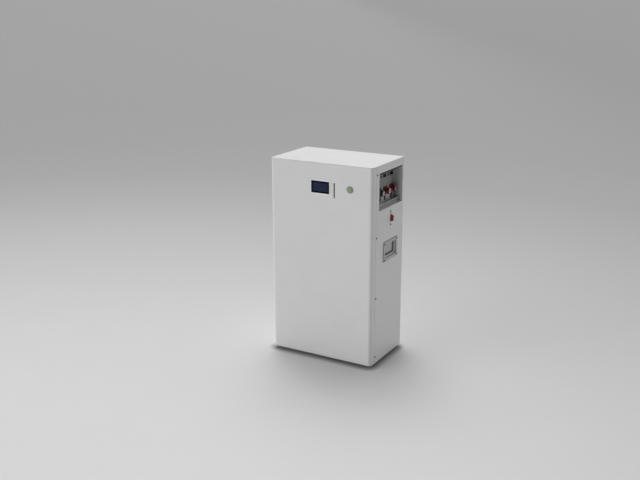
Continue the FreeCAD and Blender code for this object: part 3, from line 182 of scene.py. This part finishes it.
def bay_paint_and_painted_light(name):
    """The bay's enamel: a dark back sheet and paler walls, with painted light that makes the back sheet paler
    at its foot and the walls paler towards the mouth.
    """
    made = Surface(name, roughness=0.5, Specular_IOR_Level=0.3)
    out = made.axis("X")
    walls = made.ramp(out, panel_face + 0.1 * mm, panel_face + 0.3 * mm)
    # painted light: the walls are painted paler towards the mouth, where more light reaches them
    painted_light_near_mouth = made.ramp(out, panel_face + 15.0 * mm, panel_face + 43.0 * mm)
    # painted light: the back sheet is painted paler towards its foot
    foot = made.ramp(made.axis("Z"), bay_low.z + 34.0 * mm, bay_low.z + 74.0 * mm, 1.0, 0.0)
    mottle = made.ramp(made.noise(9.0, 3.0), 0.3, 0.7)
    dark_back = made.mix(mottle, (0.295, 0.295, 0.30), (0.31, 0.31, 0.315))
    back = made.mix(foot, dark_back, (0.70, 0.70, 0.705))
    deep_wall = made.mix(mottle, (0.50, 0.50, 0.505), (0.52, 0.52, 0.525))
    wall = made.mix(painted_light_near_mouth, deep_wall, (0.78, 0.78, 0.785))
    made.colour(made.mix(walls, back, wall))
    orange_peel(made)
    return made.material


def moulded(name, colour, roughness=0.42, grain=1.0):
    """Injection-moulded plastic with a spark-eroded grain."""
    made = Surface(name, roughness=roughness)
    patches = made.noise(55.0, 3.0)
    made.colour(made.mix(made.ramp(patches, 0.3, 0.7), shade(colour, 0.9), shade(colour, 1.08)))
    made.rough(made.ramp(made.noise(240.0, 2.0), 0.3, 0.7, roughness - 0.06, roughness + 0.06))
    made.bump(made.cells(1900.0), 0.03 * mm * grain, 0.5)
    made.bump(made.noise(140.0, 1.0), 0.04 * mm * grain, 0.3)
    return made.material


def metal(name, colour, roughness=0.3, along=(1.0, 1.0, 1.0)):
    """Plated or milled metal: fine tool lines along one axis and a faint cloudy tarnish."""
    made = Surface(name, roughness=roughness, metallic=1.0)
    lines = made.noise(1400.0, 2.0, at=made.stretched(along))
    cloud = made.noise(38.0, 4.0, 0.6)
    made.colour(made.mix(made.ramp(cloud, 0.45, 0.75), colour, shade(colour, 0.76)))
    made.rough(made.ramp(lines, 0.3, 0.7, roughness - 0.07, roughness + 0.1))
    made.bump(lines, 0.02 * mm, 0.5)
    return made.material


def menu_cap(name, colour):
    """A white button whose flange behind its face is coloured black as painted shade, so that the gap round
    it reads dark.
    """
    flange_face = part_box("menu_button_1")[0].y + 4.2 * mm
    made = Surface(name, roughness=0.42)
    patches = made.noise(55.0, 3.0)
    face = made.mix(made.ramp(patches, 0.3, 0.7), shade(colour, 0.95), shade(colour, 1.04))
    # painted shade: the flange is black so the gap round the cap reads as shadow
    painted_shade_flange = made.ramp(made.axis("Y"), flange_face, flange_face + 0.2 * mm)
    made.colour(made.mix(painted_shade_flange, face, (0.012, 0.012, 0.012)))
    made.rough(made.ramp(made.noise(240.0, 2.0), 0.3, 0.7, 0.36, 0.48))
    made.bump(made.cells(1900.0), 0.03 * mm, 0.5)
    return made.material


def rubber(name, colour, roughness=0.8):
    """Moulded rubber with a matt grain and a little dust in the hollows."""
    made = Surface(name, roughness=roughness, Specular_IOR_Level=0.3)
    dust = made.noise(70.0, 4.0, 0.7)
    made.colour(made.mix(made.ramp(dust, 0.5, 0.8, 0.0, 0.35), colour, shade(colour, 2.2)))
    made.rough(made.ramp(made.noise(300.0), 0.3, 0.7, roughness - 0.08, roughness + 0.08))
    made.bump(made.noise(800.0, 3.0, 0.7), 0.08 * mm, 0.6)
    return made.material


def board(name, colour):
    """Solder mask over copper, with a faint grid of tracks and holes."""
    made = Surface(name, roughness=0.35, Coat_Weight=0.4, Coat_Roughness=0.2)
    tracks = made.node("ShaderNodeTexBrick")
    tracks.inputs["Scale"].default_value = 90.0
    tracks.inputs["Mortar Size"].default_value = 0.03
    tracks.inputs["Color1"].default_value = (*colour, 1.0)
    tracks.inputs["Color2"].default_value = (*shade(colour, 0.8), 1.0)
    tracks.inputs["Mortar"].default_value = (*shade(colour, 1.9), 1.0)
    made.link(made.place, tracks.inputs["Vector"])
    holes = made.ramp(made.cells(240.0), 0.08, 0.14)
    made.colour(made.mix(holes, (0.75, 0.6, 0.35), tracks.outputs["Color"]))
    made.rough(made.ramp(made.noise(120.0), 0.3, 0.7, 0.3, 0.42))
    made.bump(holes, 0.1 * mm, 0.5)
    return made.material


def film(name, colour):
    """Shrink film round a cell: smooth, with faint wrinkles."""
    made = Surface(name, roughness=0.32, Coat_Weight=0.3)
    cloud = made.ramp(made.noise(16.0, 3.0), 0.3, 0.7)
    made.colour(made.mix(cloud, shade(colour, 0.85), shade(colour, 1.1)))
    made.rough(made.ramp(made.noise(80.0), 0.3, 0.7, 0.26, 0.4))
    wrinkles = made.noise(45.0, 2.0, at=made.stretched((1.0, 1.0, 0.2)), distortion=1.5)
    made.bump(wrinkles, 0.3 * mm, 0.3)
    return made.material


def clear_pipe(name, colour):
    """A moulded light guide, cloudy inside and polished on its face."""
    made = Surface(name, roughness=0.15, Transmission_Weight=0.35, IOR=1.49)
    made.colour(made.mix(made.ramp(made.noise(500.0), 0.3, 0.7), shade(colour, 0.7), shade(colour, 1.3)))
    made.rough(made.ramp(made.noise(260.0), 0.3, 0.7, 0.1, 0.22))
    made.bump(made.noise(700.0), 0.02 * mm, 0.4)
    return made.material


def display_glass(name, box):
    """The display's glass: printed black round its edge, with a dark panel and its thin bright edge line."""
    low, high = box
    made = Surface(name, roughness=0.12, Specular_IOR_Level=0.03)
    border = 9.0 * mm
    line = 0.6 * mm
    fade = 0.2 * mm
    across = made.math("ABSOLUTE", made.math("SUBTRACT", made.axis("X"), (low.x + high.x) / 2))
    up = made.math("ABSOLUTE", made.math("SUBTRACT", made.axis("Z"), (low.z + high.z) / 2))
    reach_x = made.math("SUBTRACT", across, (high.x - low.x) / 2 - border)
    reach_z = made.math("SUBTRACT", up, (high.z - low.z) / 2 - border)
    edge = made.math("MAXIMUM", reach_x, reach_z)
    inside = made.ramp(edge, -fade, 0.0, 1.0, 0.0)
    rim_starts = made.ramp(edge, -line, -line + fade)
    rim_ends = made.ramp(edge, 0.0, fade, 1.0, 0.0)
    rim = made.math("MULTIPLY", rim_starts, rim_ends)
    cloud = made.noise(30.0, 2.0)
    panel = made.mix(made.ramp(cloud, 0.3, 0.7), (0.025, 0.033, 0.068), (0.030, 0.038, 0.078))
    dark = made.mix(inside, (0.002, 0.002, 0.0025), panel)
    made.colour(made.mix(rim, dark, (0.065, 0.075, 0.105)))
    made.rough(made.ramp(made.noise(90.0, 3.0), 0.3, 0.7, 0.1, 0.16))
    made.bump(made.noise(120.0), 0.01 * mm, 0.3)
    return made.material


def machined(name, colour, pitch):
    """Four plated terminals in a row, turned on a lathe: rings round each one's axis, and each centre hole
    painted near black as painted shade.
    """
    made = Surface(name, roughness=0.25, metallic=1.0)
    low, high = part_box("terminal_inserts")
    start = (low.y + high.y) / 2 - 2 * pitch
    ring_pitch = 0.5 * mm
    painted_shade_bore = 4.4 * mm
    folded = made.math("MODULO", made.math("SUBTRACT", made.axis("Y"), start), pitch)
    y = made.math("SUBTRACT", folded, pitch / 2)
    z = made.math("SUBTRACT", made.axis("Z"), (low.z + high.z) / 2)
    radius = made.math("SQRT", made.math("ADD", made.math("POWER", y, 2.0), made.math("POWER", z, 2.0)))
    rings = made.math("SINE", made.math("MULTIPLY", radius, 2 * math.pi / ring_pitch))
    cloud = made.noise(60.0, 4.0)
    plated = made.mix(made.ramp(cloud, 0.4, 0.75), colour, shade(colour, 0.8))
    # painted shade: the hole at each terminal's centre is painted near black
    made.colour(made.mix(made.ramp(radius, painted_shade_bore, painted_shade_bore + 0.6 * mm), (0.05, 0.05, 0.05), plated))
    made.rough(made.ramp(rings, -1.0, 1.0, 0.2, 0.34))
    made.bump(rings, 0.02 * mm, 0.6)
    return made.material


white = (0.795, 0.797, 0.80)
finishes = {
    "powder_coat_white": powder_coat("powder_coat_white", white),
    "powder_coat_grey": bay_paint_and_painted_light("powder_coat_grey"),
    "powder_coat_mid": powder_coat("powder_coat_mid", (0.52, 0.52, 0.525)),
    "zinc_steel": metal("zinc_steel", (0.62, 0.63, 0.65), 0.35, (1.0, 1.0, 0.15)),
    "dark_steel": metal("dark_steel", (0.02, 0.02, 0.022), 0.45, (1.0, 0.2, 1.0)),
    "black_rubber": rubber("black_rubber", (0.018, 0.018, 0.018)),
    "white_plastic": moulded("white_plastic", (0.80, 0.80, 0.80)),
    "dark_glass": display_glass("dark_glass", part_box("display_lens")),
    "screen": film("screen", (0.02, 0.025, 0.05)),
    "circuit_board": board("circuit_board", (0.02, 0.16, 0.07)),
    "green_plastic": moulded("green_plastic", (0.285, 0.345, 0.25), 0.4, 0.6),
    "black_plastic": moulded("black_plastic", (0.016, 0.016, 0.017)),
    "red_plastic": moulded("red_plastic", (0.20, 0.010, 0.020), 0.4, 0.6),
    "nickel": machined("nickel", (0.72, 0.70, 0.66), 62.0 * mm),
    "copper": metal("copper", (0.72, 0.40, 0.25), 0.3, (1.0, 0.1, 1.0)),
    "light_pipe": clear_pipe("light_pipe", (0.02, 0.03, 0.02)),
    "brass": metal("brass", (0.70, 0.55, 0.26), 0.3, (0.15, 1.0, 1.0)),
    "cell_blue": film("cell_blue", (0.05, 0.14, 0.42)),
    "aluminium": metal("aluminium", (0.68, 0.69, 0.70), 0.38, (0.1, 1.0, 1.0)),
    "red_cable": rubber("red_cable", (0.42, 0.02, 0.02), 0.6),
    "tinned_copper": metal("tinned_copper", (0.68, 0.66, 0.62), 0.32),
}

bail_grey = powder_coat("bail_grey", (0.62, 0.62, 0.625))
menu_white = menu_cap("menu_white", (0.80, 0.80, 0.80))
slider_grey = moulded("slider_grey", (0.16, 0.16, 0.16))
own_finish = {
    "breaker_rocker": moulded("rocker_red", (0.30, 0.006, 0.010), 0.34, 0.6),
    "right_handle_bail": bail_grey,
    "left_handle_bail": bail_grey,
    "display_bezel": moulded("bezel_white", (0.90, 0.90, 0.91), 0.4, 0.5),
}
own_finish.update({f"menu_button_{number}": menu_white for number in range(1, 6)})
own_finish.update({f"address_slider_{number}": slider_grey for number in range(1, 7)})

for part in frame["record"]["subparts"]:
    slots = nodes[part["node"]].data.materials
    slots.clear()
    slots.append(own_finish.get(part["node"], finishes[part["material_slot"]]))


# ---------------------------------------------------------------- thin trim
def rounded_outline(width, height, corner, steps=6):
    """Points round a rectangle with rounded corners, centred on zero."""
    points = []
    for quarter, (sy, sz) in enumerate(((1, 1), (-1, 1), (-1, -1), (1, -1))):
        for step in range(steps + 1):
            angle = math.pi / 2 * (quarter + step / steps)
            y = sy * (width / 2 - corner) + corner * math.cos(angle)
            z = sz * (height / 2 - corner) + corner * math.sin(angle)
            points.append((y, z))
    return points


def finished(name, shape, finish, look=None):
    """A piece of trim made from a mesh, riding on the cabinet."""
    bmesh.ops.recalc_face_normals(shape, faces=shape.faces)
    mesh = bpy.data.meshes.new(name)
    shape.to_mesh(mesh)
    shape.free()
    mesh.materials.append(look or finishes[finish])
    made = bpy.data.objects.new(name, mesh)
    bpy.context.collection.objects.link(made)
    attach(made, "cabinet")


def bars(name, spans, finish, edge=0.3 * mm, look=None):
    """Straight strips with softened edges, each given by its spans along X, Y and Z."""
    shape = bmesh.new()
    for span in spans:
        centre = [(low + high) / 2 for low, high in span]
        size = [high - low for low, high in span]
        place = Matrix.Translation(centre) @ Matrix.Diagonal((*size, 1.0))
        corners = set(bmesh.ops.create_cube(shape, size=1.0, matrix=place)["verts"])
        rims = [rim for rim in shape.edges if rim.verts[0] in corners]
        bmesh.ops.bevel(shape, geom=rims, offset=edge, segments=2, affect="EDGES", profile=0.5)
    finished(name, shape, finish, look)


def below_face(deep, shallow, side=1):
    """A span along X between two depths below the cabinet's right or left side."""
    return sorted((side * (cabinet_high.x - deep), side * (cabinet_high.x - shallow)))


def offset(place, start, end):
    """A span whose two ends lie these distances from a place."""
    return (place + start, place + end)


def middle(node):
    """The centre of a piece's box."""
    low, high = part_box(node)
    return (low + high) / 2


def seam_shade_strips():
    """Dark strips that fill the seams between the front cover's returns and the side sheets: painted shade
    standing in for the shadow in the gaps.
    """
    half = 0.9 * mm
    across = offset(cabinet_low.y - 1.0 * mm, -half, half)
    up = (cabinet_low.z + half, cabinet_high.z - half)
    # painted shade: black strips in both seams
    spans = [(below_face(1.65 * mm, 0.7 * mm, side), across, up) for side in (1, -1)]
    bars("seam_shade_strips", spans, "black_rubber")


def bay_trim():
    """The bay's trim: dark strips along the mouth's head and front edge as painted shade, the low sill at its
    foot with a white lip as painted highlight and a dark strip under the lip as painted shadow, and a dark
    plate under each terminal as painted shadow.
    """
    clear = 0.1 * mm
    front, rear = mouth_y[0] + clear, mouth_y[1] - clear
    foot, top = mouth_z[0] + clear, mouth_z[1] - clear
    across = (front, rear)
    head = top - 6.9 * mm
    # painted shade: dark strips along the mouth's head and front edge stand in for the shadow there
    shade_strip_depth = below_face(5.5 * mm, 3.5 * mm)
    head_shade_strip = (shade_strip_depth, across, (head, top))
    front_shade_strip = (shade_strip_depth, offset(front, 0.0, 7.4 * mm), (foot, head))
    bars("bay_shade_strips", [head_shade_strip, front_shade_strip], "black_rubber")

    sill_top = mouth_z[0] + 16.0 * mm
    sill_back = 19.5 * mm
    sill_face = sill_back - sheet
    sill_grey = powder_coat("sill_grey", (0.40, 0.40, 0.405))
    sill = (below_face(sill_back, sill_face), across, (foot, sill_top))
    # painted highlight: the lip is painted white, paler than the grey sill, where light catches its top
    lip = (below_face(sill_back, sill_back - 5.0 * mm), across, offset(sill_top, 0.0, 2.2 * mm))
    # painted shadow: a dark strip just under the lip
    line = (below_face(sill_face, sill_face - 1.0 * mm), across, offset(sill_top, -3.4 * mm, -1.4 * mm))
    bars("bay_sill", [sill], "powder_coat_grey", look=sill_grey)
    bars("bay_sill_highlight_lip", [lip], "powder_coat_white")
    bars("bay_sill_shadow_strip", [line], "black_rubber", 0.2 * mm)

    # painted shade: a dark strip on the mouth's front edge
    edge_shade_height = offset(mouth_z[0], 41.0 * mm, 101.0 * mm)
    edge_shade = (below_face(2.1 * mm, 0.1 * mm), offset(front, 0.0, 14.9 * mm), edge_shade_height)
    bars("bay_edge_shade_strip", [edge_shade], "black_rubber", 0.5 * mm)

    # painted shadow: a dark plate on the back sheet under each terminal
    shadow_pads = []
    for pole in ("negative", "positive"):
        for number in (1, 2):
            terminal_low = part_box(f"{pole}_terminal_{number}")[0].z
            width = offset(middle(f"{pole}_terminal_{number}").y, -6.0 * mm, 6.0 * mm)
            height = offset(terminal_low, -27.5 * mm, -3.5 * mm)
            shadow_pads.append((offset(panel_face, 0.0, 1.0 * mm), width, height))
    bars("terminal_shadow_pads", shadow_pads, "black_plastic")


def menu_shadow_strip():
    """A thin dark strip beside the column of menu buttons: painted shadow of the buttons."""
    upper, lower = middle("menu_button_1"), middle("menu_button_5")
    across = offset(upper.x, 4.0 * mm, 7.0 * mm)
    thickness = offset(cover_face, -0.5 * mm, 0.0)
    up = (lower.z - 8.0 * mm, upper.z + 8.0 * mm)
    bars("menu_button_shadow_strip", [(across, thickness, up)], "black_rubber", 0.2 * mm)


def handle_trim(name, side):
    """In one handle's dish, a thin pad beside the island, and behind the grip a black block that paints the
    shade there.
    """
    centre = middle(f"{name}_handle_dish")
    pad_width = offset(centre.y, -44.4 * mm, -25.05 * mm)
    pad_height = offset(centre.z, -10.0 * mm, 30.5 * mm)
    pad = (below_face(4.6 * mm, 3.2 * mm, side), pad_width, pad_height)
    # painted shade: a black block behind the grip darkens the band above it
    grip_shade_width = offset(centre.y, -44.0 * mm, 44.0 * mm)
    grip_shade_height = offset(centre.z, -21.0 * mm, -13.0 * mm)
    stop = (below_face(17.95 * mm, 17.05 * mm, side), grip_shade_width, grip_shade_height)
    bars(f"{name}_handle_pad", [pad], "powder_coat_mid")
    bars(f"{name}_handle_grip_shade", [stop], "black_rubber")


def seal_and_shade_ring(name, side):
    """A ring of sealing foam that shows round a handle plate's outline where it meets the cabinet's side; its
    black is partly painted shade along that outline.
    """
    gauge = 0.8 * mm
    margin = 1.4 * mm
    bevel = 0.3 * mm
    plate_corner = 4.0 * mm
    low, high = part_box(f"{name}_handle_dish")
    centre = (low + high) / 2
    profile = ((0.0, 0.0), (gauge, 0.0), (gauge, margin - bevel), (gauge - bevel, margin), (0.0, margin))
    shape = bmesh.new()
    rings = []
    for out, grow in profile:
        outline = rounded_outline(high.y - low.y + 2 * grow, high.z - low.z + 2 * grow, plate_corner + grow)
        x = side * (cabinet_high.x + out)
        rings.append([shape.verts.new((x, centre.y + y, centre.z + z)) for y, z in outline])
    count = len(rings[0])
    for ring, after in zip(rings, rings[1:] + rings[:1]):
        for n in range(count):
            shape.faces.new((ring[n], ring[(n + 1) % count], after[(n + 1) % count], after[n]))
    finished(f"{name}_handle_seal_and_shade", shape, "black_rubber")


# ---------------------------------------------------------------- floor, light and camera
dome_lobes = (  # heading of the soft light panel, how narrow it is, its level
    ((-0.623, -0.779, 0.078), 8.0, 2.731),
    ((-0.881, -0.440, 0.176), 4.0, 0.862),
    ((0.881, 0.440, 0.176), 4.0, 0.821),
    ((0.0, 0.981, 0.196), 4.0, 0.814),
)
lamps = (  # name, heading of its rays, strength, angle in degrees
    ("key", (0.36, -0.45, -1.0), 1.028, 50.0),
    ("key_core", (0.36, -0.45, -1.0), 0.494, 25.0),
    ("overhead", (0.10, -0.05, -1.0), 0.512, 40.0),
)
floor_centre = (-0.5, -2.0, 0.0)
floor_reach = 10.0
painted_light_levels = (  # share of the reach from the centre, and the painted light level of the floor there
    (0.0, 0.73),
    (0.1, 0.73),
    (0.175, 0.69),
    (0.25, 0.625),
    (0.35, 0.545),
    (0.45, 0.463),
    (0.55, 0.41),
    (0.7, 0.382),
    (1.0, 0.372),
)
painted_shade_colour = (0.02, 0.02, 0.02)
floor_radius = 400.0


def floor_paint():
    """A floor with painted light: painted brightest in front, dimmer far away and to the right, and with a
    painted shadow just round the cabinet.
    """
    made = Surface("studio_floor", roughness=0.75, Specular_IOR_Level=0.2)
    reach = made.node("ShaderNodeVectorMath", operation="DISTANCE")
    made.link(made.place, reach.inputs[0])
    reach.inputs[1].default_value = floor_centre
    # painted light: the floor is painted paler near the centre and darker with distance, as if lit by a pool
    # of light
    fade = made.node("ShaderNodeValToRGB")
    made.link(made.math("DIVIDE", reach.outputs["Value"], floor_reach), fade.inputs[0])
    stops = fade.color_ramp.elements
    while len(stops) < len(painted_light_levels):
        stops.new(0.5)
    for stop, (place, level) in zip(stops, painted_light_levels):
        stop.position = place
        stop.color = (level, level, level, 1.0)
    grain = made.ramp(made.noise(3.0, 3.0), 0.3, 0.7, 0.0, 0.03)
    pale = made.mix(grain, fade.outputs["Color"], (0.45, 0.45, 0.45))

    # painted shade: the floor is painted darker far to the right
    rightward_x = made.math("MULTIPLY", made.axis("X"), 0.866)
    rightward_y = made.math("MULTIPLY", made.axis("Y"), 0.5)
    painted_shade_far_right = made.ramp(made.math("ADD", rightward_x, rightward_y), 1.5, 6.0, 0.0, 0.13)
    painted_shade_floor = made.mix(painted_shade_far_right, pale, painted_shade_colour)

    # painted shadow: a dark band painted on the floor close round the cabinet
    inset = 25.0 * mm
    squares = []
    for name, half in (("X", cabinet_high.x), ("Y", cabinet_high.y)):
        beyond = made.math("SUBTRACT", made.math("ABSOLUTE", made.axis(name)), half - inset)
        squares.append(made.math("POWER", made.math("MAXIMUM", beyond, 0.0), 2.0))
    away = made.math("SQRT", made.math("ADD", *squares))
    beside = made.ramp(away, inset + 5.0 * mm, inset + 37.0 * mm, 0.46, 0.0)
    made.colour(made.mix(beside, painted_shade_floor, painted_shade_colour))
    made.rough(made.ramp(made.noise(20.0), 0.3, 0.7, 0.7, 0.8))
    made.bump(made.noise(150.0), 0.2 * mm, 0.2)
    return made.material


def floor():
    """A floor that reaches past the horizon of the view."""
    mesh = bpy.data.meshes.new("studio_floor")
    shape = bmesh.new()
    bmesh.ops.create_circle(shape, cap_ends=True, radius=floor_radius, segments=64)
    shape.to_mesh(mesh)
    shape.free()
    mesh.materials.append(floor_paint())
    made = bpy.data.objects.new("studio_floor", mesh)
    bpy.context.collection.objects.link(made)


def studio():
    """Soft light panels round the object, a broad key light from the rear left and a lamp overhead."""
    world = bpy.data.worlds.new("studio")
    world.use_nodes = True
    tree = world.node_tree
    background = tree.nodes["Background"]
    background.inputs["Color"].default_value = (1.0, 1.0, 1.0, 1.0)
    direction = tree.nodes.new("ShaderNodeTexCoord").outputs["Generated"]

    def calculate(operation, *values):
        made = tree.nodes.new("ShaderNodeMath")
        made.operation = operation
        for socket, value in zip(made.inputs, values):
            if isinstance(value, (int, float)):
                socket.default_value = value
            else:
                tree.links.new(value, socket)
        return made.outputs[0]

    total = 0.0
    for heading, sharpness, level in dome_lobes:
        facing = tree.nodes.new("ShaderNodeVectorMath")
        facing.operation = "DOT_PRODUCT"
        facing.inputs[1].default_value = heading
        tree.links.new(direction, facing.inputs[0])
        lobe = calculate("POWER", calculate("MAXIMUM", facing.outputs["Value"], 0.0), sharpness)
        total = calculate("ADD", calculate("MULTIPLY", lobe, level), total)
    tree.links.new(total, background.inputs["Strength"])
    bpy.context.scene.world = world
    for name, heading, strength, angle in lamps:
        light = bpy.data.lights.new(name, "SUN")
        light.energy = strength
        light.angle = math.radians(angle)
        lamp = bpy.data.objects.new(name, light)
        lamp.rotation_euler = Vector(heading).to_track_quat("-Z", "Y").to_euler()
        bpy.context.collection.objects.link(lamp)


def camera():
    """The viewpoint: from the front right, a little above the top."""
    place = (1.85279, -3.35784, 1.64156)
    data = bpy.data.cameras.new("camera")
    data.lens = 49.04
    data.sensor_width = 36.0
    yaw = math.radians(-30.077)
    pitch = math.radians(16.226)
    roll = math.radians(-0.219)
    forward = Vector((math.sin(yaw) * math.cos(pitch), math.cos(yaw) * math.cos(pitch), -math.sin(pitch)))
    right = Vector((math.cos(yaw), -math.sin(yaw), 0.0))
    up = right.cross(forward)
    side = right * math.cos(roll) + up * math.sin(roll)
    top = up * math.cos(roll) - right * math.sin(roll)
    turn = Matrix((side, top, -forward)).transposed().to_4x4()
    made = bpy.data.objects.new("camera", data)
    made.matrix_world = Matrix.Translation(place) @ turn
    bpy.context.collection.objects.link(made)
    bpy.context.scene.camera = made


seam_shade_strips()
bay_trim()
menu_shadow_strip()
handles = (("right", 1), ("left", -1))
for hand, outward in handles:
    handle_trim(hand, outward)
for hand, outward in handles:
    seal_and_shade_ring(hand, outward)
floor()
studio()
camera()
bpy.context.scene.view_settings.view_transform = "Standard"
